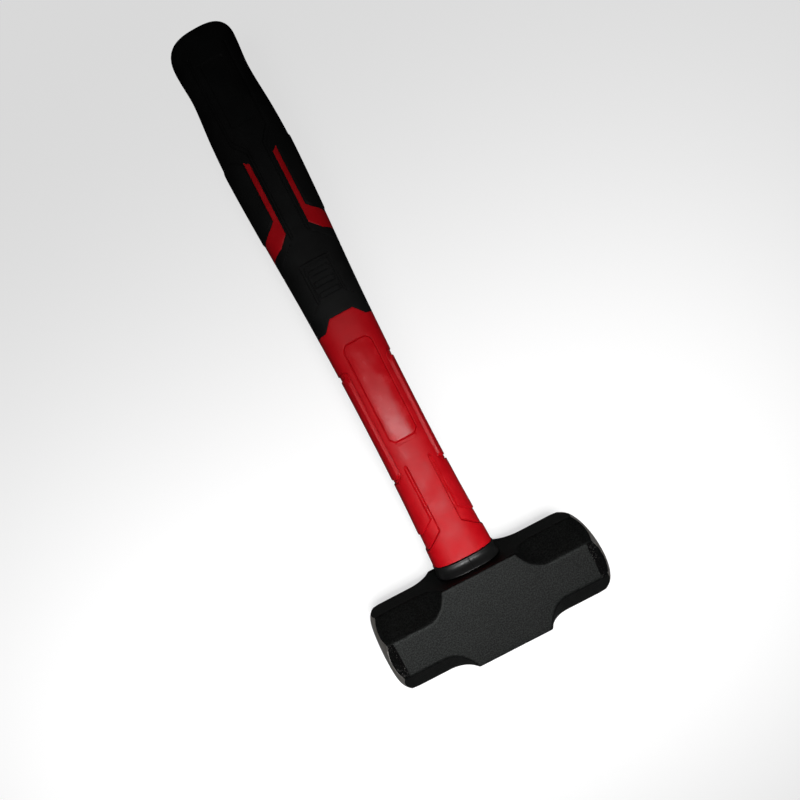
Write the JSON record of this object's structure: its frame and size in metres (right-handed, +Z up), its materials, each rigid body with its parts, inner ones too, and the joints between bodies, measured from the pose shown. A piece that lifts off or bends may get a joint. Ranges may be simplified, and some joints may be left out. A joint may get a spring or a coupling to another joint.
{
  "type": "double-faced club hammer",
  "caption": "Short-handled sledge hammer: octagonal double-faced steel head on a moulded fibreglass handle with a rubber grip.",
  "frame": {"origin": "middle of the lower cheek of the head, which the hammer lies on", "axes": "+X along the head from face to face, +Y along the handle from the head to the butt, +Z up out of the upper cheek"},
  "size_m": [0.1406, 0.38, 0.05],
  "materials": {
    "black_steel": "satin black coating with a fine speckle, worn on the end chamfers, over forged steel",
    "collar_rubber": "smooth satin black",
    "red_plastic": "satin red moulding with a glossier blank label pad",
    "grip_rubber": "matte black, finely grained",
    "fibreglass": "pultruded fibreglass, cut end showing the strands",
    "epoxy": "cast dark resin with a levelled surface"
  },
  "bodies": {
    "root": {"head": "black_steel", "collar": "collar_rubber", "handle_jacket": "red_plastic", "grip": "grip_rubber", "handle_core": "fibreglass", "eye_resin": "epoxy"}
  },
  "joints": []
}
